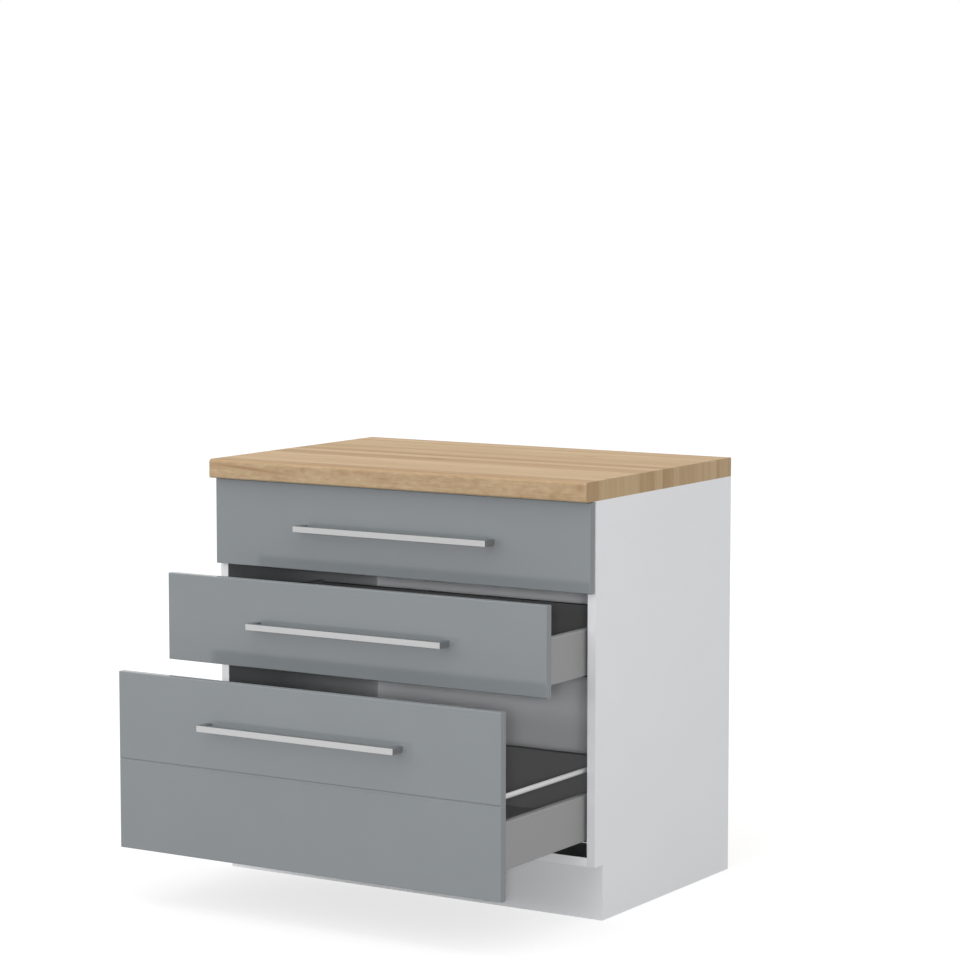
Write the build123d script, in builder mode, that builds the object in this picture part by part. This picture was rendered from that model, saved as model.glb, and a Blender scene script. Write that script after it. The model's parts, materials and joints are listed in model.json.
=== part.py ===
from build123d import *
import os

# Kitchen base cabinet with three drawers on concealed telescopic runners.
# Millimetres. +Z is up, +X is to the right seen from the front, and the front faces -Y.
# The origin is on the floor at the middle of the cabinet's width, under the middle of the depth
# that it takes up with its drawers as they stand here: top shut, middle and bottom pulled out.
# Depths are distances in front of the wall that the cabinet stands against.

os.makedirs("parts", exist_ok=True)

# ---------------------------------------------------------------- driving dimensions
cabinet_width = 900
wall_y = 470  # the wall's place behind the origin

# carcass
panel_thickness = 18
carcass_height = 831
carcass_depth = 562
plinth_height = 111
plinth_setback = 31
plinth_thickness = 16
rail_depth = 100
back_thickness = 3
rebate_width = 9
rebate_depth = 4

# worktop
worktop_depth = 600
worktop_thickness = 39
worktop_top_radius = 7
worktop_bottom_radius = 4

# drawer fronts
front_thickness = 16
front_gap = 2
front_side_reveal = 1.5
front_standoff = 2
front_edge_radius = 2
small_front_height = 177.5
large_front_height = 357.5
lowest_front_low = 112.5
groove_radius = 4
groove_offset = 2  # the groove's centre lies this far in front of the face
groove_height = 292.5

# handles
handle_length = 460
handle_projection = 35
handle_height = 12.5
handle_bar = 10
handle_leg = 12
handle_below_top = 90
handle_edge = 0.6

# drawer boxes
box_length = 488
side_height = 91
side_width = 16
side_clearance = 6  # from the carcass side to the drawer side
sheet = 1.2
side_top_radius = 3
bend_radius = 1
flange_width = 18
board_thickness = 16
board_edge = 0.6  # clears the bend of the sheet
back_board_gap = 2
small_box_above_front = 16.5
large_box_above_front = 49
small_back_height = 87.5
large_back_height = 138.5
railing_radius = 5
railing_wall = 1
railing_height = 137.5  # axis over the foot of the drawer side
railing_plug_length = 15

# castings that carry the fronts, in the hollow of the drawer sides
casting_low = 28  # over the foot of the drawer side, above the runner
casting_high = 84
casting_length = 45
casting_plate = 3
casting_rib = 2

# angles between the drawer sides and the back board
bracket_sheet = 2
bracket_rise = 26  # clears the runner under it
bracket_overlap = 30  # how far it reaches across the back board
bracket_leg_below_top = 10
bracket_below_side_top = 4
bracket_above_railing = 1

# runners
runner_length = 490
middle_length = 470
drawer_member_length = 480
runner_inset = 2  # behind the carcass's front edges
member_gap = 0.4
rail_sheet = 1.5
drawer_rail_sheet = 2
post_width = 5
post_height = 20
web_drop = 2
flange_rise = 32.5
middle_skirt = 0.5  # the middle member's lower edges over the foot of the drawer side
middle_bend = 1.5
drawer_member_bend = 2

# how far the drawers stand open
top_pull = 0
middle_pull = 164
bottom_pull = 328

# fittings, whose small pegs and holes repeat, and so are drawn with few sides
fitting_sides = 8
fit_clearance = 0.1
cam_radius = 7.5
cam_depth = 12.5
cam_from_end = 34
cam_bolt_radius = 3
cam_bolt_in_side = 11
dowel_radius = 4
dowel_in_side = 11
dowel_in_board = 24
system_pitch = 32
system_line = 37  # the first holes behind the carcass's front edges
runner_screw_steps = (0, 9)
runner_screw_radius = 2.5
runner_screw_length = 11
runner_screw_head_radius = 4.5
runner_screw_head = 2.2
runner_screw_rise = 26  # over the foot of the drawer side
worktop_screw_radius = 2
worktop_screw_length = 30
handle_screw_radius = 2
handle_screw_in_leg = 12
screw_head_radius = 4
screw_head = 2.5
plinth_bracket_leg = 30
plinth_bracket_width = 20

# ---------------------------------------------------------------- derived places
half_width = cabinet_width / 2
inner_half = half_width - panel_thickness
bottom_top = plinth_height + panel_thickness
rail_low = carcass_height - panel_thickness
plinth_face = carcass_depth - plinth_setback
plinth_rear = plinth_face - plinth_thickness
shut_depth = carcass_depth + front_standoff  # depth of a shut front's rear face
board_half = inner_half - side_clearance - side_width  # inner faces of the drawer sides
runner_center = inner_half - side_clearance - side_width / 2
handle_screw_x = (handle_length - handle_leg) / 2
runner_screw_depths = [carcass_depth - system_line - step * system_pitch for step in runner_screw_steps]
worktop_screw_xs = [-300, 300]
worktop_screw_depths = [carcass_depth - rail_depth / 2, rebate_depth + rail_depth / 2]
plinth_bracket_xs = [-300, 0, 300]

middle_front_low = lowest_front_low + large_front_height + front_gap
top_front_low = middle_front_low + small_front_height + front_gap

drawers = [
    # name, underside of the front, its height, foot of the box over it, height of the back, pull
    ("top", top_front_low, small_front_height, small_box_above_front, small_back_height, top_pull),
    ("middle", middle_front_low, small_front_height, small_box_above_front, small_back_height, middle_pull),
    ("bottom", lowest_front_low, large_front_height, large_box_above_front, large_back_height, bottom_pull),
]
box_feet = [front_low + rise for name, front_low, height, rise, back, pull in drawers]

# board underside, depth of the cam, depth of the dowel beside it, for each end of each board
cam_joints = [
    (plinth_height, 70, 102),
    (plinth_height, 496, 464),
    (rail_low, 70, 38),
    (rail_low, 496, 528),
]
bottom_joints = cam_joints[:2]
rear_rail_joints = cam_joints[2:3]
front_rail_joints = cam_joints[3:]


# ---------------------------------------------------------------- building blocks
def across(depth):
    """The upright plane at this depth, drawn in X and Z, whose extrusions grow forwards."""
    return Plane.XZ.offset(depth - wall_y)


def facing(x, depth, z, direction):
    """A place at this point whose +Z looks along the direction."""
    return Plane((x, wall_y - depth, z), z_dir=direction)


def save(piece, name):
    """Name a finished piece and write it."""
    piece.part.label = name
    export_step(piece.part, f"parts/{name}.step")


def save_mirrored(piece, name):
    """Write the left-hand twin of a right-hand piece."""
    with BuildPart() as twin:
        mirror(piece.part, about=Plane.YZ)
    save(twin, name)


def block(x_low, x_high, depth_low, depth_high, z_low, z_high):
    """A board or plate between two depths, added to the current part."""
    with BuildSketch(across(depth_low)) as outline:
        with Locations(((x_low + x_high) / 2, (z_low + z_high) / 2)):
            Rectangle(x_high - x_low, z_high - z_low)
    extrude(outline.sketch, amount=depth_high - depth_low)


def peg(places, radius, length):
    """The same peg at each place, along the place's +Z."""
    with BuildSketch(*places) as outline:
        RegularPolygon(radius, fitting_sides)
    extrude(outline.sketch, amount=length)


def bore(places, radius, depth):
    """A hole for a peg of this radius at each place, drilled against the place's +Z."""
    with BuildSketch(*places) as outline:
        RegularPolygon(radius + fit_clearance, fitting_sides)
    extrude(outline.sketch, amount=-depth, mode=Mode.SUBTRACT)


def screws(places, radius, length, head_radius, head_height):
    """Screws with their shanks along each place's +Z and their heads behind it."""
    peg(places, radius, length)
    peg(places, head_radius, -head_height)


def cam_places(joints, x, height, direction):
    """A place at each joint's cam, this far over the board's underside, facing along a direction."""
    return [facing(x, cam_at, low + height, direction) for low, cam_at, dowel_at in joints]


def dowel_places(joints, x, direction):
    """A place at the middle of the board's edge at each joint's dowel."""
    middle = panel_thickness / 2
    return [facing(x, dowel_at, low + middle, direction) for low, cam_at, dowel_at in joints]


def runner_screw_places(x, direction):
    """A place at every runner screw of one side."""
    return [
        facing(x, depth, foot + runner_screw_rise, direction)
        for foot in box_feet
        for depth in runner_screw_depths
    ]


def handle_places(depth, z, direction):
    """A place at each of a handle's two screws."""
    return [facing(x, depth, z, direction) for x in (-handle_screw_x, handle_screw_x)]


def worktop_screw_places(depths, z, direction):
    return [facing(x, depth, z, direction) for x in worktop_screw_xs for depth in depths]


# ---------------------------------------------------------------- carcass
with BuildPart() as side_panel:
    with BuildSketch(Plane.YZ.offset(inner_half)):
        with BuildLine():
            Polyline(
                (wall_y, 0),
                (wall_y - plinth_face, 0),
                (wall_y - plinth_face, plinth_height),
                (wall_y - carcass_depth, plinth_height),
                (wall_y - carcass_depth, carcass_height),
                (wall_y, carcass_height),
                close=True,
            )
        make_face()
    extrude(amount=panel_thickness)
    # rebate for the back panel
    with BuildSketch(across(0)):
        with Locations((inner_half + rebate_width / 2, (plinth_height + carcass_height) / 2)):
            Rectangle(rebate_width, carcass_height - plinth_height)
    extrude(amount=rebate_depth, mode=Mode.SUBTRACT)
    # holes for the cam bolts and dowels of the boards between the side panels, and for the runners
    inwards = (-1, 0, 0)
    bore(cam_places(cam_joints, inner_half, panel_thickness / 2, inwards), cam_bolt_radius, cam_bolt_in_side)
    bore(dowel_places(cam_joints, inner_half, inwards), dowel_radius, dowel_in_side)
    bore(runner_screw_places(inner_half, inwards), runner_screw_radius, runner_screw_length)
save(side_panel, "side_panel_right")
save_mirrored(side_panel, "side_panel_left")


def drill_ends(joints):
    """Bolt bores, cam pockets and dowel holes at both ends of a board between the side panels."""
    for sign in (-1, 1):
        end = sign * inner_half
        outwards = (sign, 0, 0)
        bore(cam_places(joints, end, panel_thickness / 2, outwards), dowel_radius, cam_from_end)
        bore(cam_places(joints, end - sign * cam_from_end, 0, (0, 0, -1)), cam_radius, cam_depth)
        bore(dowel_places(joints, end, outwards), dowel_radius, dowel_in_board)


with BuildPart() as bottom_panel:
    block(-inner_half, inner_half, rebate_depth, carcass_depth, plinth_height, bottom_top)
    drill_ends(bottom_joints)
save(bottom_panel, "bottom_panel")

for name, depth_low, joints, screw_depth in (
    ("front_rail", carcass_depth - rail_depth, front_rail_joints, worktop_screw_depths[0]),
    ("rear_rail", rebate_depth, rear_rail_joints, worktop_screw_depths[1]),
):
    with BuildPart() as rail:
        block(-inner_half, inner_half, depth_low, depth_low + rail_depth, rail_low, carcass_height)
        drill_ends(joints)
        bore(worktop_screw_places([screw_depth], rail_low, (0, 0, -1)), worktop_screw_radius, panel_thickness)
    save(rail, name)

with BuildPart() as back_panel:
    back_half = inner_half + rebate_width
    block(-back_half, back_half, rebate_depth - back_thickness, rebate_depth, plinth_height, carcass_height)
save(back_panel, "back_panel")

with BuildPart() as plinth_panel:
    block(-inner_half, inner_half, plinth_rear, plinth_face, 0, plinth_height)
save(plinth_panel, "plinth_panel")

with BuildPart() as plinth_brackets:
    bracket_low = plinth_height - plinth_bracket_leg
    for x in plinth_bracket_xs:
        x_low = x - plinth_bracket_width / 2
        x_high = x + plinth_bracket_width / 2
        block(x_low, x_high, plinth_rear - bracket_sheet, plinth_rear, bracket_low, plinth_height)
        block(
            x_low,
            x_high,
            plinth_rear - plinth_bracket_leg,
            plinth_rear,
            plinth_height - bracket_sheet,
            plinth_height,
        )
save(plinth_brackets, "plinth_brackets")

with BuildPart() as worktop:
    block(-half_width, half_width, 0, worktop_depth, carcass_height, carcass_height + worktop_thickness)
    front_edges = worktop.edges().filter_by(Axis.X).group_by(Axis.Y)[0]
    fillet(front_edges.sort_by(Axis.Z)[-1], worktop_top_radius)
    front_edges = worktop.edges().filter_by(Axis.X).group_by(Axis.Y)[0]
    fillet(front_edges.sort_by(Axis.Z)[0], worktop_bottom_radius)
    undersides = worktop_screw_places(worktop_screw_depths, carcass_height, (0, 0, -1))
    bore(undersides, worktop_screw_radius, worktop_screw_length - panel_thickness)
save(worktop, "worktop")

with BuildPart() as worktop_screws:
    seats = worktop_screw_places(worktop_screw_depths, rail_low, (0, 0, 1))
    screws(seats, worktop_screw_radius, worktop_screw_length, screw_head_radius, screw_head)
save(worktop_screws, "worktop_screws")

with BuildPart() as cam_discs:
    for sign in (-1, 1):
        x = sign * (inner_half - cam_from_end)
        peg(cam_places(cam_joints, x, 0, (0, 0, 1)), cam_radius, cam_depth)
save(cam_discs, "cam_discs")

with BuildPart() as cam_bolts:
    bolt_start = inner_half - cam_from_end + cam_radius  # against the cam
    for sign in (-1, 1):
        starts = cam_places(cam_joints, sign * bolt_start, panel_thickness / 2, (sign, 0, 0))
        peg(starts, cam_bolt_radius, inner_half + cam_bolt_in_side - bolt_start)
save(cam_bolts, "cam_bolts")

with BuildPart() as dowels:
    for sign in (-1, 1):
        starts = dowel_places(cam_joints, sign * (inner_half - dowel_in_board), (sign, 0, 0))
        peg(starts, dowel_radius, dowel_in_board + dowel_in_side)
save(dowels, "dowels")

with BuildPart() as runner_screws:
    for sign in (-1, 1):
        seats = runner_screw_places(sign * (inner_half - rail_sheet), (sign, 0, 0))
        shank = runner_screw_length + rail_sheet
        screws(seats, runner_screw_radius, shank, runner_screw_head_radius, runner_screw_head)
save(runner_screws, "runner_screws")


# ---------------------------------------------------------------- runners
def folded(points, radius, thickness, depth_low, length):
    """A strip of sheet metal bent along these points in X and Z, run forwards over the length."""
    with BuildSketch(across(depth_low)) as profile:
        with BuildLine():
            FilletPolyline(*points, radius=radius)
        trace(line_width=thickness)
    extrude(profile.sketch, amount=length)


def arch(center, half, top, low, radius, thickness, depth_low, length):
    """An upside-down channel over a rail, measured to the middle of its sheet."""
    points = [(center - half, low), (center - half, top), (center + half, top), (center + half, low)]
    folded(points, radius, thickness, depth_low, length)


# half widths and tops of the nested members, to the middle of their sheet
middle_half = post_width / 2 + member_gap + rail_sheet / 2
middle_top = post_height + member_gap + rail_sheet / 2
drawer_half = middle_half + rail_sheet / 2 + member_gap + drawer_rail_sheet / 2
drawer_top = middle_top + rail_sheet / 2 + member_gap + drawer_rail_sheet / 2


def make_cabinet_member(name, foot):
    """The fixed member: a flange on the side panel, a web under the drawer side and a post inside it."""
    half = (post_width - rail_sheet) / 2
    flange_x = inner_half - rail_sheet / 2
    web_z = foot - web_drop - rail_sheet / 2
    post_z = foot + post_height - rail_sheet / 2
    points = [
        (flange_x, foot + flange_rise),
        (flange_x, web_z),
        (runner_center + half, web_z),
        (runner_center + half, post_z),
        (runner_center - half, post_z),
        (runner_center - half, foot),
    ]
    seats = [
        facing(inner_half - rail_sheet, depth, foot + runner_screw_rise, (-1, 0, 0))
        for depth in runner_screw_depths
    ]
    with BuildPart() as member:
        depth_low = carcass_depth - runner_inset - runner_length
        folded(points, bend_radius, rail_sheet, depth_low, runner_length)
        bore(seats, runner_screw_radius, rail_sheet)
    save(member, f"{name}_runner_cabinet_right")
    save_mirrored(member, f"{name}_runner_cabinet_left")


def make_middle_member(name, foot, pull):
    """The telescoping member between the fixed one and the drawer's, half as far out as the drawer."""
    depth_low = carcass_depth - 2 * runner_inset - middle_length + pull / 2
    low = foot + middle_skirt
    top = foot + middle_top
    with BuildPart() as member:
        arch(runner_center, middle_half, top, low, middle_bend, rail_sheet, depth_low, middle_length)
    save(member, f"{name}_runner_middle_right")
    save_mirrored(member, f"{name}_runner_middle_left")


def make_drawer_members(name, foot, rear_face):
    """The pair of members that sit between the two walls of the drawer sides."""
    depth_low = rear_face - 2 * runner_inset - drawer_member_length
    top = foot + drawer_top
    bend = drawer_member_bend
    with BuildPart() as members:
        for center in (-runner_center, runner_center):
            arch(center, drawer_half, top, foot, bend, drawer_rail_sheet, depth_low, drawer_member_length)
    save(members, f"{name}_runner_drawer")


# ---------------------------------------------------------------- drawers
def make_front(name, low, height, rear_face, handle_z, grooved):
    """A board front with softened front edges, holes for its handle and, if asked, a groove."""
    half = half_width - front_side_reveal
    face = rear_face + front_thickness
    with BuildPart() as front:
        block(-half, half, rear_face, face, low, low + height)
        rim = front.faces().filter_by(Axis.X).edges().filter_by(Axis.Z).group_by(Axis.Y)[0]
        rim += front.faces().filter_by(Axis.Z).edges().filter_by(Axis.X).group_by(Axis.Y)[0]
        fillet(rim, front_edge_radius)
        if grooved:
            with BuildSketch(Plane.YZ.offset(-half_width)):
                with Locations((wall_y - face - groove_offset, groove_height)):
                    Circle(groove_radius)
            extrude(amount=cabinet_width, mode=Mode.SUBTRACT)
        bore(handle_places(rear_face, handle_z, (0, 1, 0)), handle_screw_radius, front_thickness)
    save(front, f"{name}_front")


def make_handle(name, face, z):
    """A U of square bar: a grip across the front and a leg at each end, drilled for a screw."""
    with BuildPart() as handle:
        with BuildSketch(Plane.XY.offset(z - handle_height / 2)):
            with Locations((0, wall_y - face - handle_projection / 2)):
                Rectangle(handle_length, handle_projection)
            with Locations((0, wall_y - face - (handle_projection - handle_bar) / 2)):
                Rectangle(
                    handle_length - 2 * handle_leg,
                    handle_projection - handle_bar,
                    mode=Mode.SUBTRACT,
                )
        extrude(amount=handle_height)
        chamfer(handle.faces().sort_by(Axis.Y)[0].edges(), handle_edge)
        bore(handle_places(face, z, (0, 1, 0)), handle_screw_radius, handle_screw_in_leg)
    save(handle, f"{name}_handle")


def make_handle_screws(name, rear_face, z):
    """The two screws that hold the handle from inside the drawer."""
    length = front_thickness + handle_screw_in_leg
    with BuildPart() as pair:
        seats = handle_places(rear_face, z, (0, -1, 0))
        screws(seats, handle_screw_radius, length, screw_head_radius, screw_head)
    save(pair, f"{name}_handle_screws")


def make_side(name, foot, rear_face):
    """A folded drawer side: outer wall, rounded top, inner wall, and a flange under the base."""
    outer = inner_half - side_clearance - sheet / 2
    inner = board_half + sheet / 2
    top = foot + side_height - sheet / 2
    points = [
        (outer, foot),
        (outer, top),
        (inner, top),
        (inner, foot + sheet / 2),
        (board_half - flange_width, foot + sheet / 2),
    ]
    with BuildPart() as side:
        folded(points, [side_top_radius, side_top_radius, bend_radius], sheet, rear_face - box_length, box_length)
    save(side, f"{name}_side_right")
    save_mirrored(side, f"{name}_side_left")


def make_boards(name, foot, rear_face, back_height):
    """The base on the flanges of the sides, and the back board that stands on its rear end."""
    rear = rear_face - box_length
    base_top = foot + sheet + board_thickness
    with BuildPart() as base:
        block(-board_half, board_half, rear, rear_face, foot + sheet, base_top)
        chamfer(base.edges().filter_by(Axis.Y).group_by(Axis.Z)[0], board_edge)
    save(base, f"{name}_base")
    with BuildPart() as back:
        half = board_half - back_board_gap
        block(-half, half, rear, rear + board_thickness, base_top, foot + back_height)
    save(back, f"{name}_back")


def make_front_brackets(name, foot, rear_face):
    """Castings between the walls of the sides, over the runner, that carry the front."""
    low = foot + casting_low
    high = foot + casting_high
    half = side_width / 2 - sheet
    rear = rear_face - casting_length
    with BuildPart() as castings:
        for center in (-runner_center, runner_center):
            block(center - half, center + half, rear_face - casting_plate, rear_face, low, high)
            block(center - casting_rib / 2, center + casting_rib / 2, rear, rear_face, low, high)
            for rib in (low, (low + high - casting_rib) / 2, high - casting_rib):
                block(center - half, center + half, rear, rear_face, rib, rib + casting_rib)
    save(castings, f"{name}_front_brackets")


def make_back_brackets(name, foot, rear_face, top):
    """Angles at the rear: one leg beside the back board, one across its rear and the side's end."""
    rear = rear_face - box_length
    leg_low = foot + sheet + board_thickness
    leg_high = foot + side_height - bracket_leg_below_top
    leg_front = rear + 2 * board_thickness
    with BuildPart() as brackets:
        for sign in (-1, 1):
            leg = sorted((sign * (board_half - back_board_gap), sign * board_half))
            plate = sorted((sign * (board_half - bracket_overlap), sign * (inner_half - side_clearance - sheet)))
            block(*leg, rear, leg_front, leg_low, leg_high)
            block(*plate, rear - bracket_sheet, rear, foot + bracket_rise, top)
    save(brackets, f"{name}_back_brackets")


def make_railings(name, foot, rear_face):
    """Round tubes over the drawer sides, from the front to the back brackets, and their end plugs."""
    rear = rear_face - box_length
    z = foot + railing_height
    tube_bore = railing_radius - railing_wall
    with BuildPart() as railing:
        with BuildSketch(across(rear)):
            with Locations((runner_center, z)):
                Circle(railing_radius)
                Circle(tube_bore, mode=Mode.SUBTRACT)
        extrude(amount=box_length)
    save(railing, f"{name}_railing_right")
    save_mirrored(railing, f"{name}_railing_left")
    with BuildPart() as plugs:
        seats = [
            facing(x, depth, z, (0, -1, 0))
            for x in (-runner_center, runner_center)
            for depth in (rear, rear_face - railing_plug_length)
        ]
        peg(seats, tube_bore - fit_clearance, railing_plug_length)
    save(plugs, f"{name}_railing_plugs")


for name, front_low, front_height, box_rise, back_height, pull in drawers:
    foot = front_low + box_rise
    rear_face = shut_depth + pull
    handle_z = front_low + front_height - handle_below_top
    is_tall = front_height == large_front_height
    make_front(name, front_low, front_height, rear_face, handle_z, is_tall)
    make_handle(name, rear_face + front_thickness, handle_z)
    make_handle_screws(name, rear_face, handle_z)
    make_side(name, foot, rear_face)
    make_boards(name, foot, rear_face, back_height)
    make_front_brackets(name, foot, rear_face)
    if is_tall:
        make_railings(name, foot, rear_face)
        bracket_top = foot + railing_height + railing_radius + bracket_above_railing
    else:
        bracket_top = foot + side_height - bracket_below_side_top
    make_back_brackets(name, foot, rear_face, bracket_top)
    make_cabinet_member(name, foot)
    make_middle_member(name, foot, pull)
    make_drawer_members(name, foot, rear_face)
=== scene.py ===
import json
import math

import bmesh
import bpy
from mathutils import Matrix, Vector


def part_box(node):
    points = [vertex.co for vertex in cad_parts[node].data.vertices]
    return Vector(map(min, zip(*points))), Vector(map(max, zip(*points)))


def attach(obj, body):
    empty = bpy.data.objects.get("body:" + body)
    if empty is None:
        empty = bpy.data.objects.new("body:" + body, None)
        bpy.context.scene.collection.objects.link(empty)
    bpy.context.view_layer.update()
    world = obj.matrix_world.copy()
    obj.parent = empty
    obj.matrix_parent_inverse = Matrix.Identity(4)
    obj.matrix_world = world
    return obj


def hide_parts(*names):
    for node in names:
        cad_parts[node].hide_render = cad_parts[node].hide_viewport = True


# Kitchen base cabinet with drawers: finishes, small fittings, floor, light and camera.
# Metres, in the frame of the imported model: +Z up, +X to the right seen from the front, -Y forwards.

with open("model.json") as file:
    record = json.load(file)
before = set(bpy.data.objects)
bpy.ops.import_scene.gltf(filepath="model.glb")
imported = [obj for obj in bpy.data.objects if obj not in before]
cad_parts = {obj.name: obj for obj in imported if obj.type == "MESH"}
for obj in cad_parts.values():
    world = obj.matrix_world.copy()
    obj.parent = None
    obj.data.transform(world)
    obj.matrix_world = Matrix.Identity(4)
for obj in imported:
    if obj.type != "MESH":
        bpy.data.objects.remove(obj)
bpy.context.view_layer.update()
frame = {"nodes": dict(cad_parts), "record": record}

# ---------------------------------------------------------------- places, from the frame
drawers = ("top", "middle", "bottom")
wall_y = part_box("worktop")[1].y
panel_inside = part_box("side_panel_right")[0].x  # inner faces of the side panels
carcass_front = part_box("bottom_panel")[0].y
bottom_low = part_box("bottom_panel")[0].z
bottom_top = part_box("bottom_panel")[1].z
rail_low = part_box("front_rail")[0].z
worktop_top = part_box("worktop")[1].z
worktop_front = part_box("worktop")[0].y
plinth_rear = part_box("plinth_panel")[1].y

# ---------------------------------------------------------------- camera, as in the photograph
camera_place = (3.4403, -5.3040, 1.4938)
camera_azimuth = 31.98  # degrees to the left of straight ahead
camera_down = 5.91  # degrees below level
camera_sensor = 36  # millimetres of width
camera_lens = 117.57  # millimetres
camera_reach = 100  # metres


def make_camera():
    """The photograph's camera: its place, its direction and its narrow lens."""
    camera = bpy.data.objects.new("camera", bpy.data.cameras.new("camera"))
    bpy.context.scene.collection.objects.link(camera)
    camera.data.sensor_width = camera_sensor
    camera.data.lens = camera_lens
    camera.data.clip_end = camera_reach
    camera.location = camera_place
    camera.rotation_euler = (
        math.radians(90 - camera_down),
        0,
        math.radians(camera_azimuth),
    )
    bpy.context.scene.camera = camera


# ---------------------------------------------------------------- light
ambient = 0.68  # how brightly the studio lights the object from all round
lamp_target = Vector((0, 0, 0.45))

lamps = [
    # name, degrees to the right of the front, degrees up, distance, width, height, watts
    ("overhead", -20, 80, 4, 3, 3, 36),
    ("over_front", 10, 55, 5, 3, 3, 17),
    ("right_high", 75, 50, 5, 3.5, 3.5, 28),
    ("left_low", -40, 20, 5, 4, 3, 70),
    ("by_camera", 33, 9.3, 7, 0.5, 0.25, 128),
    ("front_low", 5, 10.9, 6, 1.2, 0.3, 24),
    ("behind", 185, 10, 5, 3, 2, 36),
]


def make_lamp(name, azimuth, elevation, distance, width, height, watts):
    """A soft panel lamp that faces the object from this direction, and that no surface mirrors."""
    lamp = bpy.data.objects.new(name, bpy.data.lights.new(name, "AREA"))
    bpy.context.scene.collection.objects.link(lamp)
    lamp.data.shape = "RECTANGLE"
    lamp.data.size = width
    lamp.data.size_y = height
    lamp.data.energy = watts
    turn = Matrix.Rotation(math.radians(azimuth), 3, "Z")
    turn = turn @ Matrix.Rotation(math.radians(-elevation), 3, "X")
    offset = turn @ Vector((0, -distance, 0))
    lamp.location = lamp_target + offset
    lamp.visible_glossy = False
    lamp.rotation_euler = (-offset).to_track_quat("-Z", "Y").to_euler()


def make_world():
    """White to the eye, in reflections and through glass, and a plain ambient level for the rest."""
    world = bpy.data.worlds.new("studio")
    bpy.context.scene.world = world
    world.use_nodes = True
    nodes = world.node_tree.nodes
    links = world.node_tree.links
    path = nodes.new("ShaderNodeLightPath")
    seen = nodes.new("ShaderNodeMath")
    seen.operation = "MAXIMUM"
    links.new(path.outputs["Is Camera Ray"], seen.inputs[0])
    links.new(path.outputs["Is Glossy Ray"], seen.inputs[1])
    through = nodes.new("ShaderNodeMath")
    through.operation = "MAXIMUM"
    links.new(seen.outputs[0], through.inputs[0])
    links.new(path.outputs["Is Transmission Ray"], through.inputs[1])
    level = nodes.new("ShaderNodeMapRange")
    level.inputs["To Min"].default_value = ambient
    level.inputs["To Max"].default_value = 1
    links.new(through.outputs[0], level.inputs["Value"])
    background = nodes["Background"]
    background.inputs["Color"].default_value = (1, 1, 1, 1)
    links.new(level.outputs[0], background.inputs["Strength"])


# ---------------------------------------------------------------- finishes
def srgb(red, green, blue):
    """A colour written as 0 to 255 on screen, as the shader takes it."""
    def linear(level):
        level /= 255
        return level / 12.92 if level <= 0.04045 else ((level + 0.055) / 1.055) ** 2.4

    return (linear(red), linear(green), linear(blue), 1)


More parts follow.
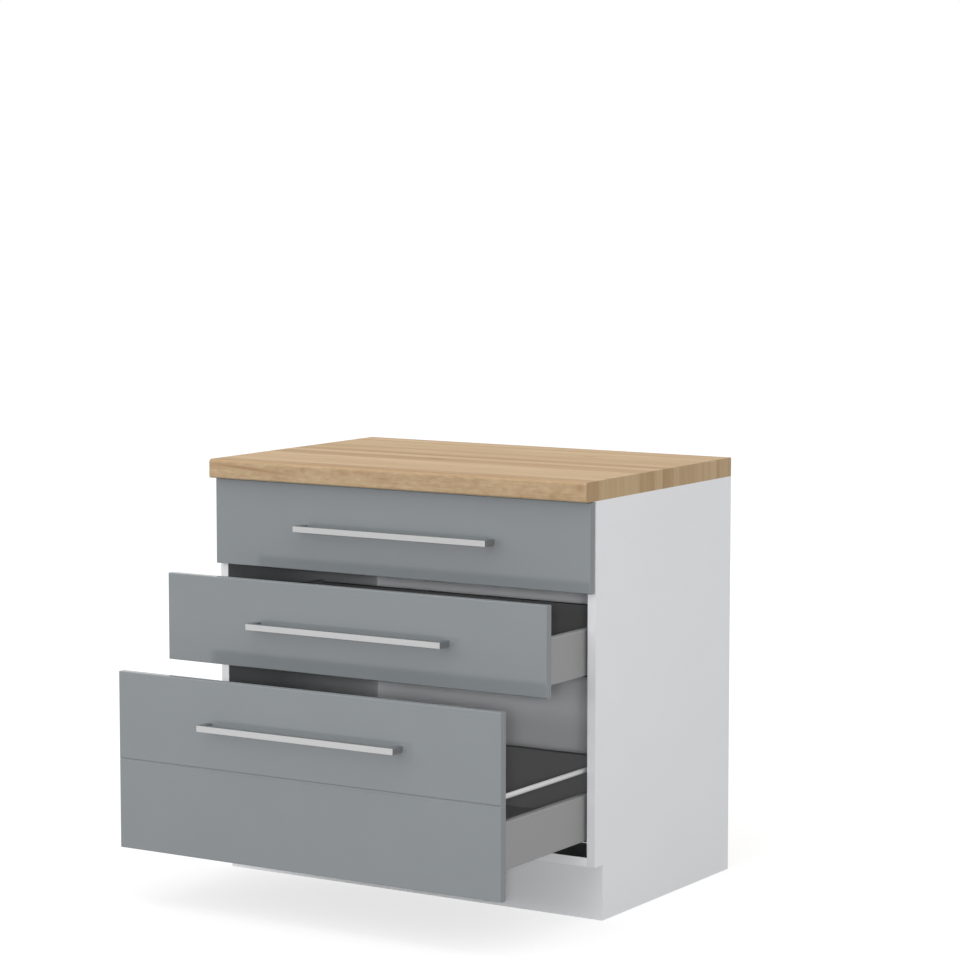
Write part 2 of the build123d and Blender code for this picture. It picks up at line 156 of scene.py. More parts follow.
class Finish:
    """A node material around one Principled shader, with short ways to add and join nodes."""

    facing_limit = 0.7  # a face looks along an axis up to about 45 degrees from it, as a cosine

    def __init__(self, name, **values):
        self.material = bpy.data.materials.new(name)
        self.material.use_nodes = True
        self.nodes = self.material.node_tree.nodes
        self.links = self.material.node_tree.links
        self.shader = self.nodes["Principled BSDF"]
        for socket, value in values.items():
            self.shader.inputs[socket.replace("_", " ")].default_value = value
        coordinates = self.add("TexCoord")
        self.place = coordinates.outputs["Object"]
        self.normal = coordinates.outputs["Normal"]

    def add(self, kind, settings=None, **inputs):
        """A new node with these settings, whose inputs are numbers, colours or other nodes' sockets."""
        node = self.nodes.new("ShaderNode" + kind)
        for key, value in (settings or {}).items():
            setattr(node, key, value)
        for key, value in inputs.items():
            socket = node.inputs[int(key[1:])] if key[0] == "_" else node.inputs[key.replace("_", " ")]
            if isinstance(value, bpy.types.NodeSocket):
                self.links.new(value, socket)
            else:
                socket.default_value = value
        return node

    def math(self, operation, first, second=0.0):
        """The result of an operation on one or two numbers."""
        return self.add("Math", {"operation": operation}, _0=first, _1=second).outputs[0]

    def vector(self, operation, first, second=(0, 0, 0)):
        """The result of an operation on one or two vectors."""
        return self.add("VectorMath", {"operation": operation}, _0=first, _1=second).outputs[0]

    def parts(self, vector):
        """The X, Y and Z of a vector."""
        return self.add("SeparateXYZ", _0=vector).outputs

    def length(self, vector):
        """The length of a vector."""
        return self.add("VectorMath", {"operation": "LENGTH"}, _0=vector).outputs["Value"]

    def joined(self, x=0.0, y=0.0, z=0.0):
        """The vector of this X, Y and Z."""
        return self.add("CombineXYZ", _0=x, _1=y, _2=z).outputs[0]

    def noise(self, scale, detail=3, roughness=0.55, source=None):
        """Noise, mostly from 0.3 to 0.7, whose grains per metre along X, Y and Z are the scale."""
        stretched = self.vector("MULTIPLY", source or self.place, scale)
        return self.add(
            "TexNoise",
            Vector=stretched,
            Scale=1,
            Detail=detail,
            Roughness=roughness,
        ).outputs[0]

    def ranged(self, value, low, high, to_low=0.0, to_high=1.0):
        """A value moved from one range to another, and held inside it."""
        return self.add("MapRange", _0=value, _1=low, _2=high, _3=to_low, _4=to_high).outputs[0]

    def mix(self, factor, first, second):
        """A mix of two colours."""
        return self.add("Mix", {"data_type": "RGBA"}, _0=factor, _6=first, _7=second).outputs[2]

    def choose(self, factor, first, second):
        """A mix of two vectors."""
        return self.add("Mix", {"data_type": "VECTOR"}, _0=factor, _4=first, _5=second).outputs[1]

    def facing(self, axis, sign=0):
        """1 on faces that look along this axis: towards its plus or minus side, or both ways at 0."""
        size = self.parts(self.normal)[axis]
        size = self.math("MULTIPLY", size, sign) if sign else self.math("ABSOLUTE", size)
        return self.math("GREATER_THAN", size, self.facing_limit)

    def color(self, socket):
        """The surface takes its colour from this socket."""
        self.links.new(socket, self.shader.inputs["Base Color"])

    def rough(self, socket):
        """The surface takes its roughness from this socket."""
        self.links.new(socket, self.shader.inputs["Roughness"])

    def bump(self, height, depth):
        """Relief from a height of 0 to 1 that stands for this depth in metres."""
        node = self.add("Bump", Height=height, Distance=depth, Strength=1)
        self.links.new(node.outputs[0], self.shader.inputs["Normal"])

    def chipboard(self):
        """The colour of raw chipboard: pale and brown chips of a few millimetres, pressed flat."""
        chips = self.add("TexVoronoi", {"feature": "F1"}, Vector=self.place, Scale=420, Randomness=1)
        chip = self.parts(chips.outputs["Color"])[0]
        tone = self.mix(chip, srgb(166, 138, 104), srgb(214, 190, 152))
        dark = self.ranged(self.noise((260, 260, 420), detail=2), 0.62, 0.7, 0, 0.6)
        return self.mix(dark, tone, srgb(120, 94, 66))


def white_board():
    """White melamine: grey inside with painted shade, paler towards the back with painted light, darker on
    the inner upward faces with painted shade, front edge bands paler or darker with painted light and
    shade, and raw chipboard at the rear and below.
    """
    smooth = 0.42  # roughness of the melamine
    coarse = 0.85  # and of the raw chipboard
    painted_light_from = 0.1  # where the painted light on the inside starts, turning it paler towards the wall
    foot = 0.0005  # what is lower than this stands on the floor
    slack = 0.0003  # puts faces that lie on a limit well to one side of it
    finish = Finish("white_board", Roughness=smooth)
    clouds = finish.noise((6, 6, 6), detail=2)
    outside = finish.mix(clouds, srgb(229, 230, 232), srgb(233, 234, 236))
    x, y, z = finish.parts(finish.place)[:3]
    # in front: the edge bands of the bottom, paler with painted light, and of the sides, darker with
    # painted shade, and the plinth below them
    shaded_side_edges = finish.math("GREATER_THAN", finish.math("ABSOLUTE", x), panel_inside)
    # painted light on the bottom's edge band, painted shade on the sides' edge bands
    bands = finish.mix(shaded_side_edges, srgb(241, 242, 243), srgb(225, 226, 228))
    plinth = srgb(230, 231, 233)
    front_with_painted_edges = finish.mix(finish.math("GREATER_THAN", z, bottom_low), plinth, bands)
    outside = finish.mix(finish.facing(1, -1), outside, front_with_painted_edges)
    # painted shade: the inside of the white board is grey
    inside = finish.mix(clouds, srgb(120, 122, 124), srgb(126, 128, 130))
    # painted light: the inside grows paler towards the wall
    inside = finish.mix(finish.ranged(y, painted_light_from, wall_y), inside, srgb(200, 202, 204))
    # painted shade: the upward faces inside are darkest
    inside = finish.mix(finish.facing(2, 1), inside, srgb(68, 70, 72))
    # the space inside the carcass, just behind its front edges, which takes the painted shade of the inside
    lowest = Vector((-panel_inside - slack, carcass_front + 2 * slack, bottom_top - slack))
    highest = Vector((panel_inside + slack, wall_y, rail_low + slack))
    offset = finish.vector("SUBTRACT", finish.place, (lowest + highest) / 2)
    share = finish.vector("DIVIDE", offset, (highest - lowest) / 2)
    share = finish.parts(finish.vector("ABSOLUTE", share))
    furthest = finish.math("MAXIMUM", finish.math("MAXIMUM", share[0], share[1]), share[2])
    tone = finish.mix(finish.math("LESS_THAN", furthest, 1), outside, inside)
    behind_plinth = finish.math("GREATER_THAN", y, plinth_rear + slack)
    raw = finish.math("MULTIPLY", finish.facing(1, 1), behind_plinth)
    on_floor = finish.math("LESS_THAN", z, foot)
    raw = finish.math("MAXIMUM", raw, finish.math("MULTIPLY", finish.facing(2, -1), on_floor))
    finish.color(finish.mix(raw, tone, finish.chipboard()))
    finish.rough(finish.ranged(raw, 0, 1, smooth, coarse))
    finish.bump(finish.noise((1400, 1400, 1400), detail=2), depth=0.00004)
    return finish.material


def hardboard():
    """The back panel: white in front, and bare brown board with a sieve pattern behind."""
    sieve_wave = 3200  # radians per metre, for bumps about 2 mm apart
    finish = Finish("grey_hardboard", Roughness=0.6)
    clouds = finish.noise((9, 9, 9), detail=3)
    front = finish.mix(clouds, srgb(229, 230, 233), srgb(233, 234, 237))
    fibres = finish.noise((160, 160, 160), detail=4, roughness=0.6)
    rear = finish.mix(fibres, srgb(146, 112, 78), srgb(178, 142, 104))
    behind = finish.facing(1, 1)
    finish.color(finish.mix(behind, front, rear))
    across = finish.math("SINE", finish.math("MULTIPLY", finish.parts(finish.place)[0], sieve_wave))
    upwards = finish.math("SINE", finish.math("MULTIPLY", finish.parts(finish.place)[2], sieve_wave))
    sieve = finish.math("MULTIPLY", finish.math("MULTIPLY", across, upwards), behind)
    finish.bump(finish.ranged(sieve, -1, 1), depth=0.00012)
    return finish.material


# the worktop's oak staves, from its front edge to its rear
staves = [
    # where it ends, metres behind the front edge; its shade, from 0, pale, to 1, dark
    (0.000, 0.37),  # the front edge itself
    (0.050, 0.92),
    (0.078, 0.16),
    (0.150, 0.42),
    (0.208, 0.24),
    (0.272, 0.90),
    (0.304, 0.20),
    (0.350, 1.00),
    (0.372, 0.30),
    (0.430, 0.66),
    (0.480, 0.46),
    (0.536, 0.34),
    (0.551, 0.85),
    (0.586, 0.22),
    (0.600, 0.75),
]
stave_joint = 0.002  # the width over which one stave's shade passes into the next one's
edge_height = 0.05  # room for the front edge before the first stave
end_scale = 0.35  # on the ends the grain runs upright, and is drawn out by 1 / this
wander_reach = 0.006  # how far the grain strays sideways
# how much each of these adds to the shade, from 0, pale, to 1, dark
stave_share = 0.5
broad_share = 0.36
streak_share = 0.22
mottle_share = 0.2  # on the front edge, up or down
patch_share = 0.1  # the same
painted_end_light = 0.04  # painted light on the ends, taken off the shade
painted_edge_shade = 0.156  # painted shade: how far the front edge's colour goes on towards black
knots = [
    # place along the worktop, place across it and down its front edge, half length, half width,
    # slant, strength
    (-0.350, -0.1450, 0.140, 0.0045, -0.072, 0.48),
    (0.436, -0.1400, 0.012, 0.0130, 0.0, 0.42),
    (0.374, -0.1620, 0.011, 0.0070, 0.0, 0.38),
    (-0.215, -0.1400, 0.009, 0.0100, 0.0, 0.28),
    (-0.115, -0.1430, 0.020, 0.0060, 0.0, 0.30),
    (-0.020, -0.1500, 0.030, 0.0100, 0.0, 0.22),
    (-0.060, 0.1250, 0.030, 0.0090, 0.0, 0.55),
    (0.190, 0.3300, 0.030, 0.0090, 0.0, 0.55),
]


def oak_worktop():
    """Oak staves along the worktop, with a mottled front edge darkened by painted shade and upright bands
    on the ends, made paler by painted light.
    """
    pale = srgb(206, 182, 148)
    dark = srgb(163, 133, 99)
    pore = srgb(122, 90, 60)
    fleck = srgb(140, 104, 70)
    knot = srgb(144, 104, 70)
    underside = srgb(188, 172, 148)
    # the colour of the painted shade on the front edge
    black = srgb(24, 22, 18)
    finish = Finish("oak_worktop", Roughness=0.6, Specular_IOR_Level=0.06)
    x, y, z = finish.parts(finish.place)[:3]
    on_end = finish.facing(0)
    on_edge = finish.facing(1, -1)
    # across the staves: depth on the top and the ends, and on down the front edge
    over = finish.math("ADD", y, finish.math("SUBTRACT", z, worktop_top))
    sheet = finish.joined(x, over)
    strip = finish.joined(finish.math("MULTIPLY", z, end_scale), y)
    flat = finish.choose(on_end, sheet, strip)
    across = finish.parts(flat)[1]
    along = finish.parts(flat)[0]
    # the shade of each stave
    reach = edge_height + staves[-1][0]
    ramp = finish.add("ValToRGB", _0=finish.ranged(across, worktop_front - edge_height, wall_y))
    stops = ramp.color_ramp.elements
    stops[0].color = (staves[0][1],) * 3 + (1,)
    stops[1].color = (staves[-1][1],) * 3 + (1,)
    for (end, shade), (_, next_shade) in zip(staves, staves[1:]):
        for side, level in ((-0.5, shade), (0.5, next_shade)):
            stop = stops.new((edge_height + end + side * stave_joint) / reach)
            stop.color = (level, level, level, 1)
    stave = finish.parts(ramp.outputs["Color"])[0]
    # grain, which wanders a little and differs from stave to stave
    wander = finish.noise((3.5, 22, 0), detail=2, source=flat)
    bent = finish.math("ADD", across, finish.ranged(wander, 0, 1, -wander_reach, wander_reach))
    grain = finish.joined(along, bent, stave)
    broad = finish.noise((1.6, 30, 9), detail=3, roughness=0.55, source=grain)
    streaks = finish.noise((7, 210, 9), detail=4, roughness=0.6, source=grain)
    pores = finish.noise((55, 1500, 9), detail=2, roughness=0.5, source=grain)
    shade = finish.math("MULTIPLY", stave, stave_share)
    shade = finish.math("ADD", shade, finish.ranged(broad, 0.3, 0.72, 0, broad_share))
    shade = finish.math("ADD", shade, finish.ranged(streaks, 0.34, 0.68, 0, streak_share))
    # the mottled figure of the front edge
    figure = finish.noise((48, 120, 0), detail=3, roughness=0.6, source=flat)
    patches = finish.noise((9, 0, 0), detail=2, roughness=0.5, source=flat)
    figure = finish.ranged(figure, 0.3, 0.7, -mottle_share, mottle_share)
    patches = finish.ranged(patches, 0.3, 0.7, -patch_share, patch_share)
    figure = finish.math("ADD", figure, patches)
    shade = finish.math("ADD", shade, finish.math("MULTIPLY", figure, on_edge))
    # painted light: the ends a shade paler than the top
    shade = finish.math("SUBTRACT", shade, finish.math("MULTIPLY", on_end, painted_end_light))
    tone = finish.mix(shade, pale, dark)
    tone = finish.mix(finish.ranged(pores, 0.6, 0.72, 0, 0.32), tone, pore)
    # short dark flecks, and streaks and knots in places of their own
    flecks = finish.noise((26, 150, 0), detail=3, roughness=0.5, source=grain)
    tone = finish.mix(finish.ranged(flecks, 0.66, 0.76, 0, 0.4), tone, fleck)
    for knot_along, knot_across, length, width, slant, strength in knots:
        offset = finish.vector("SUBTRACT", flat, (knot_along, knot_across, 0))
        offset_along, offset_across = finish.parts(offset)[:2]
        lean = finish.math("MULTIPLY", offset_along, slant)
        offset_across = finish.math("SUBTRACT", offset_across, lean)
        size = finish.vector("DIVIDE", finish.joined(offset_along, offset_across), (length, width, 1))
        ripple = finish.math("ADD", finish.length(size), finish.ranged(figure, -0.3, 0.3, -0.45, 0.45))
        tone = finish.mix(finish.ranged(ripple, 0.2, 1, strength, 0), tone, knot)
    # painted shade on the front edge: its colour dimmed evenly towards black
    tone = finish.mix(finish.math("MULTIPLY", on_edge, painted_edge_shade), tone, black)
    tone = finish.mix(finish.facing(2, -1), tone, underside)
    finish.color(finish.mix(finish.facing(1, 1), tone, finish.chipboard()))
    finish.rough(finish.ranged(streaks, 0.3, 0.7, 0.54, 0.66))
    finish.bump(pores, depth=0.00008)
    return finish.material


def grey_lacquer():
    """The drawer fronts' even gloss grey, with painted shade darkening the ends, and matt behind."""
    gloss = 0.08  # roughness in front
    matt = 0.7  # and behind
    finish = Finish("grey_lacquer", Roughness=gloss)
    clouds = finish.noise((9, 9, 9), detail=3)
    tone = finish.mix(clouds, srgb(123, 128, 131), srgb(127, 132, 135))
    # painted shade: the end faces a shade darker than the front
    finish.color(finish.mix(finish.facing(0), tone, srgb(117, 122, 125)))
    finish.rough(finish.ranged(finish.facing(1, 1), 0, 1, gloss, matt))
    finish.bump(finish.noise((700, 700, 700), detail=2), depth=0.00004)
    return finish.material


def brushed_handle():
    """Steel brushed along the handle."""
    finish = Finish("brushed_handle", Metallic=1, Roughness=0.3)
    brushing = finish.noise((20, 2600, 2600), detail=3)
    finish.color(finish.mix(brushing, srgb(180, 180, 180), srgb(196, 196, 196)))
    finish.rough(finish.ranged(brushing, 0.3, 0.7, 0.24, 0.36))
    finish.bump(brushing, depth=0.00003)
    return finish.material


def powder_coat(name, first, second, roughness):
    """Powder-coated steel, with its slight orange peel."""
    finish = Finish(name, Roughness=roughness)
    finish.color(finish.mix(finish.noise((8, 8, 8), detail=3), first, second))
    peel = finish.noise((500, 500, 500), detail=1)
    finish.bump(finish.math("ADD", peel, finish.noise((2200, 2200, 2200), detail=1)), depth=0.00004)
    return finish.material


def drawer_board():
    """Dark melamine with fine pale flecks, on the drawers' bases and backs, with painted light on their
    upward faces.
    """
    finish = Finish("anthracite_board", Roughness=0.55)
    clouds = finish.noise((12, 12, 12), detail=3)
    tone = finish.mix(clouds, srgb(104, 104, 105), srgb(110, 110, 111))
    # painted light: the upward faces a shade paler
    tone = finish.mix(finish.facing(2, 1), tone, srgb(118, 118, 119))
    flecks = finish.ranged(finish.noise((900, 900, 900), detail=2), 0.62, 0.72, 0, 0.25)
    finish.color(finish.mix(flecks, tone, srgb(140, 140, 141)))
    finish.bump(finish.noise((1100, 1100, 1100), detail=2), depth=0.00006)
    return finish.material


def plated(name, first, second, roughness):
    """Bare or zinc-plated metal with cloudy tones and a fine grain."""
    finish = Finish(name, Metallic=1, Roughness=roughness)
    clouds = finish.noise((45, 45, 45), detail=4, roughness=0.6)
    finish.color(finish.mix(finish.ranged(clouds, 0.3, 0.7), first, second))
    finish.rough(finish.ranged(clouds, 0.3, 0.7, roughness - 0.06, roughness + 0.08))
    finish.bump(finish.noise((900, 900, 900), detail=3), depth=0.00003)
    return finish.material


def moulded(name, first, second):
    """Matt moulded plastic."""
    finish = Finish(name, Roughness=0.5)
    finish.color(finish.mix(finish.noise((60, 60, 60), detail=2), first, second))
    finish.bump(finish.noise((1600, 1600, 1600), detail=2), depth=0.00004)
    return finish.material


def beech():
    """Bare beech dowels, grained along their length."""
    finish = Finish("beech", Roughness=0.7)
    grain = finish.noise((30, 900, 900), detail=3)
    finish.color(finish.mix(grain, srgb(190, 152, 112), srgb(222, 190, 150)))
    finish.bump(grain, depth=0.00008)
    return finish.material


finishes = {
    "white_board": white_board(),
    "grey_hardboard": hardboard(),
    "oak_worktop": oak_worktop(),
    "beech": beech(),
    "grey_lacquer": grey_lacquer(),
    "brushed_handle": brushed_handle(),
    "grey_steel": powder_coat("grey_steel", srgb(140, 140, 140), srgb(144, 144, 144), 0.45),
    "anthracite_board": drawer_board(),
    "railing_tube": powder_coat("railing_tube", srgb(206, 206, 206), srgb(210, 210, 210), 0.35),
    "zinc_casting": plated("zinc_casting", srgb(166, 166, 165), srgb(190, 190, 188), 0.42),
    "grey_plastic": moulded("grey_plastic", srgb(148, 149, 150), srgb(154, 155, 156)),
    "zinc_plated_steel": plated("zinc_plated_steel", srgb(186, 188, 192), srgb(210, 212, 215), 0.34),
}


def dress_nodes():
    """Each CAD node takes the finish that the record names for it."""
    for part in frame["record"]["subparts"]:
        node = frame["nodes"][part["node"]]
        if not node.material_slots:
            node.data.materials.append(None)
        for place in node.material_slots:
            place.material = finishes[part["material_slot"]]


# ---------------------------------------------------------------- small fittings
def close_rings(shape, rings, open_start=False):
    """Walls from ring to ring of corners, closed by a flat face on the last and, unless open, the first."""
    for lower, upper in zip(rings, rings[1:]):
        for step in range(len(lower)):
            after = (step + 1) % len(lower)
            shape.faces.new((lower[step], lower[after], upper[after], upper[step]))
    if not open_start:
        shape.faces.new(reversed(rings[0]))
    shape.faces.new(rings[-1])


def turned(shape, profile, place, sides=24, open_start=False):
    """A round body: rings of radius and height along the place's +Z, whose first end may stay open."""
    rings = []
    for radius, height in profile:
        ring = []
        for step in range(sides):
            angle = 2 * math.pi * step / sides
            point = Vector((radius * math.cos(angle), radius * math.sin(angle), height))
            ring.append(shape.verts.new(place @ point))
        rings.append(ring)
    close_rings(shape, rings, open_start)


def pad(shape, place, width, height, corner, thickness, sides=24):
    """A plate with round corners and a softened upper edge, flat on the place, thick along its +Z."""
    soft = thickness * 0.4  # how far the softened edge reaches in and down
    halfway = soft * 0.3  # and how far in and down its middle lies
    rings = []
    steps = [(0, 0), (0, thickness - soft), (halfway, thickness - halfway), (soft, thickness)]
    for inset, level in steps:
        ring = []
        for step in range(sides):
            angle = 2 * math.pi * (step + 0.5) / sides
            turn = Vector((math.cos(angle), math.sin(angle)))
            middle = Vector((
                math.copysign(width / 2 - corner, turn.x),
                math.copysign(height / 2 - corner, turn.y),
            ))
            point = middle + turn * (corner - inset)
            ring.append(shape.verts.new(place @ Vector((point.x, point.y, level))))
        rings.append(ring)
    close_rings(shape, rings)


def recess(shape, place, rim, height, reach, width, depth, sides=24):
    """The face that closes a round body's open end: a flat disc with a cross sunk into it."""
    taper = 0.55  # size of the cross's floor beside its mouth
    outline = []
    for step in range(sides):
        angle = 2 * math.pi * step / sides
        outline.append(place @ Vector((rim * math.cos(angle), rim * math.sin(angle), height)))
    half = width / 2
    quarter = [(reach, -half), (reach, half), (half, half)]
    cross = []
    for turn in range(4):
        spin = Matrix.Rotation(turn * math.pi / 2, 2)
        cross += [spin @ Vector(point) for point in quarter]
    edge = [place @ Vector((point.x, point.y, height)) for point in cross]
    foot = [place @ Vector((point.x * taper, point.y * taper, height - depth)) for point in cross]
    outer = [shape.verts.new(point) for point in outline]
    inner = [shape.verts.new(point) for point in edge]
    sunk = [shape.verts.new(point) for point in foot]
    edges = []
    for loop in (outer, inner):
        edges += [shape.edges.new((first, second)) for first, second in zip(loop, loop[1:] + loop[:1])]
    bmesh.ops.triangle_fill(shape, edges=edges, use_beauty=True)
    for step in range(len(inner)):
        after = (step + 1) % len(inner)
        shape.faces.new((inner[step], inner[after], sunk[after], sunk[step]))
    shape.faces.new(sunk)


def looking(point, direction):
    """A place at this point whose +Z looks along the direction."""
    turn = Vector((0, 0, 1)).rotation_difference(Vector(direction))
    return Matrix.Translation(point) @ turn.to_matrix().to_4x4()


def spread(low, high, pitch):
    """Evenly spaced places from low to high, about this pitch apart."""
    steps = max(1, round((high - low) / pitch))
    return [low + (high - low) * step / steps for step in range(steps + 1)]


def make_piece(name, body, slot, build, replaced=()):
    """A mesh piece that rides on a body, takes a slot's finish and may stand for CAD nodes."""
    weld = 1e-6  # corners nearer than this become one
    sharp = math.radians(35)  # edges that turn more than this stay crisp
    shape = bmesh.new()
    build(shape)
    bmesh.ops.remove_doubles(shape, verts=shape.verts, dist=weld)
    bmesh.ops.recalc_face_normals(shape, faces=shape.faces)
    for face in shape.faces:
        face.smooth = True
    mesh = bpy.data.meshes.new(name)
    shape.to_mesh(mesh)
    shape.free()
    mesh.set_sharp_from_angle(angle=sharp)
    mesh.materials.append(finishes[slot])
    piece = bpy.data.objects.new(name, mesh)
    bpy.context.scene.collection.objects.link(piece)
    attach(piece, body)
    if replaced:
        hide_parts(*replaced)


def screw(shape, place, length, radius, head_radius, head_height):
    """A pan-head screw with a cross recess: its head stands behind the place and its shank along +Z."""
    pitch = radius * 0.9
    root = radius * 0.74
    neck = radius * 0.8
    point = radius * 0.15
    plain = length * 0.2  # the part below the head that has no thread
    thread = []
    height = length - 2 * radius
    while height > plain:
        thread += [(radius, height), (root, height - pitch / 2)]
        height -= pitch
    turned(shape, [(neck, 0), (neck, height)] + thread[::-1] + [(point, length)], place)
    crown = head_radius * 0.72  # radius of the flat top inside the head's rounded edge
    head = [(crown, -head_height), (head_radius * 0.94, -head_height * 0.72), (head_radius, 0)]
    turned(shape, head, place, open_start=True)
    back = place @ Matrix.Rotation(math.pi, 4, "X")
    recess(shape, back, crown, head_height, crown * 0.72, head_radius * 0.24, head_height * 0.8)


# sizes and places of the fastenings, as the CAD model has them
# each screw: length, radius, head radius, head height
handle_screw = (0.028, 0.002, 0.004, 0.0025)
runner_screw = (0.0125, 0.0025, 0.0045, 0.0022)
worktop_screw = (0.030, 0.002, 0.004, 0.0025)
handle_leg = 0.012
runner_screw_rise = 0.026
runner_screw_depths = (0.037, 0.325)  # behind the carcass's front edges
runner_sheet = 0.0015
worktop_screw_x = 0.3
cam_from_end = 0.034
cam_depths = (0.070, 0.496)  # in front of the wall
cam_radius = 0.0075
cam_depth = 0.0125
cam_waist = cam_radius * 0.72
cam_rim_radius = 0.0084
cam_rim_thickness = 0.0004
cam_cross = (cam_radius * 0.62, 0.0016, 0.002)  # reach, width, depth
cam_profile = [  # radius and height, from the rim that covers the edge of the hole to the upper end
    (cam_radius, -cam_rim_thickness),
    (cam_rim_radius, -cam_rim_thickness / 2),
    (cam_rim_radius, 0),
    (cam_radius, 0),
    (cam_radius, 0.0038),
    (cam_waist, 0.0042),
    (cam_waist, 0.0088),
    (cam_radius, 0.0092),
    (cam_radius, cam_depth),
]


def foot_of(drawer):
    """The height of the lower edges of a drawer's sides."""
    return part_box(f"{drawer}_side_right")[0].z


def make_handle_screws():
    """Two screws for each handle, from inside the front into its legs."""
    for drawer in drawers:
        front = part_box(f"{drawer}_front")
        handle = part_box(f"{drawer}_handle")
        height = (handle[0].z + handle[1].z) / 2
        inset = handle[1].x - handle_leg / 2

        def build(shape):
            for x in (-inset, inset):
                place = looking((x, front[1].y, height), (0, -1, 0))
                screw(shape, place, *handle_screw)

        name = f"{drawer}_handle_screws"
        make_piece(f"{name}_cross", f"{drawer}_drawer", "zinc_plated_steel", build, [name])


def make_runner_screws():
    """Two screws for each runner's outer member, into the side panel."""
    def build(shape):
        for drawer in drawers:
            height = foot_of(drawer) + runner_screw_rise
            for sign in (-1, 1):
                for depth in runner_screw_depths:
                    point = (sign * (panel_inside - runner_sheet), carcass_front + depth, height)
                    screw(shape, looking(point, (sign, 0, 0)), *runner_screw)

    make_piece("runner_screws_cross", "carcass", "zinc_plated_steel", build, ["runner_screws"])


def make_worktop_screws():
    """Screws up through the rails into the worktop."""
    def build(shape):
        for rail in ("front_rail", "rear_rail"):
            low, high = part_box(rail)
            for x in (-worktop_screw_x, worktop_screw_x):
                point = (x, (low.y + high.y) / 2, low.z)
                screw(shape, looking(point, (0, 0, 1)), *worktop_screw)

    make_piece("worktop_screws_cross", "carcass", "zinc_plated_steel", build, ["worktop_screws"])


def make_cam_discs():
    """Cam discs up into the undersides of the bottom panel and the rails, near each of their ends."""
    def build(shape):
        for low in (bottom_low, rail_low):
            for depth in cam_depths:
                for sign in (-1, 1):
                    point = (sign * (panel_inside - cam_from_end), wall_y - depth, low)
                    place = looking(point, (0, 0, 1))
                    turned(shape, cam_profile, place, sides=32, open_start=True)
                    face = place @ Matrix.Rotation(math.pi, 4, "X")
                    recess(shape, face, cam_radius, cam_rim_thickness, *cam_cross, sides=32)

    make_piece("cam_discs_slotted", "carcass", "zinc_casting", build, ["cam_discs"])


# fastenings and trims that only this script makes
nail_pitch = 0.12
nail_profile = [  # radius and height of a back-panel nail, from its flat head to its point
    (0.0011, -0.0005),
    (0.0016, -0.0004),
    (0.0016, -0.0001),
    (0.0008, 0),
    (0.0008, 0.018),
    (0.0002, 0.020),
]
small_screw = (0.014, 0.0018, 0.0035, 0.0012)
angle_width = 0.020
angle_sheet = 0.002
angle_screw_out = 0.022  # from the corner of an angle to the screw in its leg
flange_middle = 0.009  # from the inner wall of a drawer side to the middle of its flange
base_screw_end = 0.06  # from either end of the base to its nearest screw
base_screw_pitch = 0.15
bracket_screw_in = 0.016  # from the inner wall of a drawer side to its rear bracket's screws
bracket_screw_low = 0.040  # from the foot of a drawer side to the lowest of them
bracket_screw_high = 0.013  # from the highest of them to the top of the back board
bracket_screw_pitch = 0.04
cap_size = (0.036, 0.014, 0.003, 0.001)  # length, height, corner radius, thickness
cap_behind_front = 0.026
cap_rise = 0.056
collar_profile = [  # radius and height of a railing's collar, from the front's rear face
    (0.0076, 0),
    (0.0080, 0.0005),
    (0.0080, 0.0032),
    (0.0072, 0.0040),
    (0.0052, 0.0044),
]


def make_back_nails():
    """Nails round the back panel, their heads in the shallow recess behind it."""
    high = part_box("back_panel")[1]
    half = (high.x + panel_inside) / 2  # over the rebate
    bottom = (bottom_low + bottom_top) / 2
    top = (rail_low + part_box("rear_rail")[1].z) / 2
    across = spread(-panel_inside + nail_pitch / 3, panel_inside - nail_pitch / 3, nail_pitch)
    upwards = spread(bottom, top, nail_pitch)[1:-1]
    places = [(x, z) for x in across for z in (bottom, top)]
    places += [(x, z) for x in (-half, half) for z in upwards]

    def build(shape):
        for x, z in places:
            turned(shape, nail_profile, looking((x, high.y, z), (0, -1, 0)), sides=12)

    make_piece("back_panel_nails", "carcass", "zinc_plated_steel", build)


def make_plinth_bracket_screws():
    """One screw through each leg of the angles that hold the plinth."""
    low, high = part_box("plinth_brackets")

    def build(shape):
        for x in (low.x + angle_width / 2, 0, high.x - angle_width / 2):
            upright = (x, low.y + angle_sheet, high.z - angle_screw_out)
            level = (x, low.y + angle_screw_out, high.z - angle_sheet)
            screw(shape, looking(upright, (0, -1, 0)), *small_screw)
            screw(shape, looking(level, (0, 0, 1)), *small_screw)

    make_piece("plinth_bracket_screws", "carcass", "zinc_plated_steel", build)


def make_drawer_screws():
    """Screws up through the flanges into the base, and through the rear brackets into the back."""
    for drawer in drawers:
        foot = foot_of(drawer)
        front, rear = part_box(f"{drawer}_base")
        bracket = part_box(f"{drawer}_back_brackets")
        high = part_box(f"{drawer}_back")[1].z - bracket_screw_high
        depths = spread(front.y + base_screw_end, rear.y - base_screw_end, base_screw_pitch)
        heights = spread(foot + bracket_screw_low, high, bracket_screw_pitch)

        def build(shape):
            for sign in (-1, 1):
                x = sign * (rear.x - flange_middle)
                for y in depths:
                    screw(shape, looking((x, y, foot), (0, 0, 1)), *small_screw)
                x = sign * (rear.x - bracket_screw_in)
                for z in heights:
                    screw(shape, looking((x, bracket[1].y, z), (0, -1, 0)), *small_screw)

        make_piece(f"{drawer}_box_screws", f"{drawer}_drawer", "zinc_plated_steel", build)


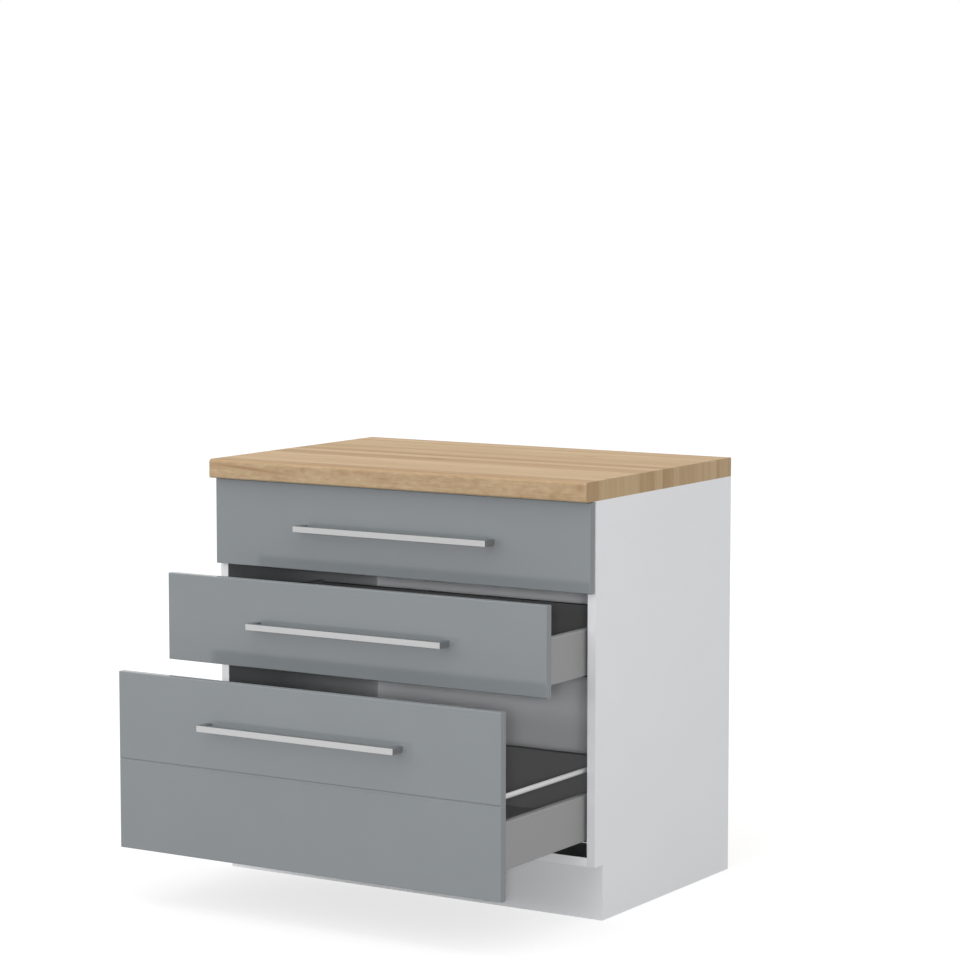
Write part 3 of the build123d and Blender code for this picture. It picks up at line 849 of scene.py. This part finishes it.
def make_cover_caps():
    """Plain caps on the inner walls of the drawer sides, over the adjusters of the front's castings."""
    for drawer in drawers:
        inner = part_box(f"{drawer}_base")[1].x
        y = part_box(f"{drawer}_front")[1].y + cap_behind_front
        z = foot_of(drawer) + cap_rise

        def build(shape):
            for sign in (-1, 1):
                place = looking((sign * inner, y, z), (-sign, 0, 0))
                pad(shape, place @ Matrix.Rotation(math.pi / 2, 4, "Z"), *cap_size)

        make_piece(f"{drawer}_cover_caps", f"{drawer}_drawer", "grey_plastic", build)


def make_railing_collars():
    """A collar round the front end of each railing, against the front."""
    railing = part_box("bottom_railing_right")
    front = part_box("bottom_front")
    height = (railing[0].z + railing[1].z) / 2

    def build(shape):
        for sign in (-1, 1):
            x = sign * (railing[0].x + railing[1].x) / 2
            place = looking((x, front[1].y, height), (0, 1, 0))
            turned(shape, collar_profile, place, sides=32)

    make_piece("bottom_railing_collars", "bottom_drawer", "grey_plastic", build)


# ---------------------------------------------------------------- floor
floor_half = 14
floor_color = (0.35, 0.35, 0.35, 1)
floor_near = 1.1  # metres from the middle where the floor starts to brighten
floor_far = 3.2  # and where it is brightest
floor_lift = (0.7, 0.8)  # the light it gives off for the eye alone, near and far


def make_floor():
    """A plain pale floor that keeps the object's shadow and fades to white."""
    mesh = bpy.data.meshes.new("floor")
    corners = [(x * floor_half, y * floor_half, 0) for x, y in ((-1, -1), (1, -1), (1, 1), (-1, 1))]
    mesh.from_pydata(corners, [], [(0, 1, 2, 3)])
    floor = bpy.data.objects.new("floor", mesh)
    bpy.context.scene.collection.objects.link(floor)
    finish = Finish("floor", Roughness=1, Specular_IOR_Level=0)
    finish.shader.inputs["Base Color"].default_value = floor_color
    finish.shader.inputs["Emission Color"].default_value = (1, 1, 1, 1)
    path = finish.add("LightPath")
    seen = finish.math("MAXIMUM", path.outputs["Is Camera Ray"], path.outputs["Is Glossy Ray"])
    seen = finish.math("MAXIMUM", seen, path.outputs["Is Transmission Ray"])
    lift = finish.ranged(finish.length(finish.place), floor_near, floor_far, *floor_lift)
    finish.links.new(finish.math("MULTIPLY", seen, lift), finish.shader.inputs["Emission Strength"])
    mesh.materials.append(finish.material)


make_camera()
make_world()
for lamp in lamps:
    make_lamp(*lamp)
make_floor()
dress_nodes()
make_handle_screws()
make_runner_screws()
make_worktop_screws()
make_cam_discs()
make_back_nails()
make_plinth_bracket_screws()
make_drawer_screws()
make_cover_caps()
make_railing_collars()
bpy.context.scene.view_settings.view_transform = "Standard"
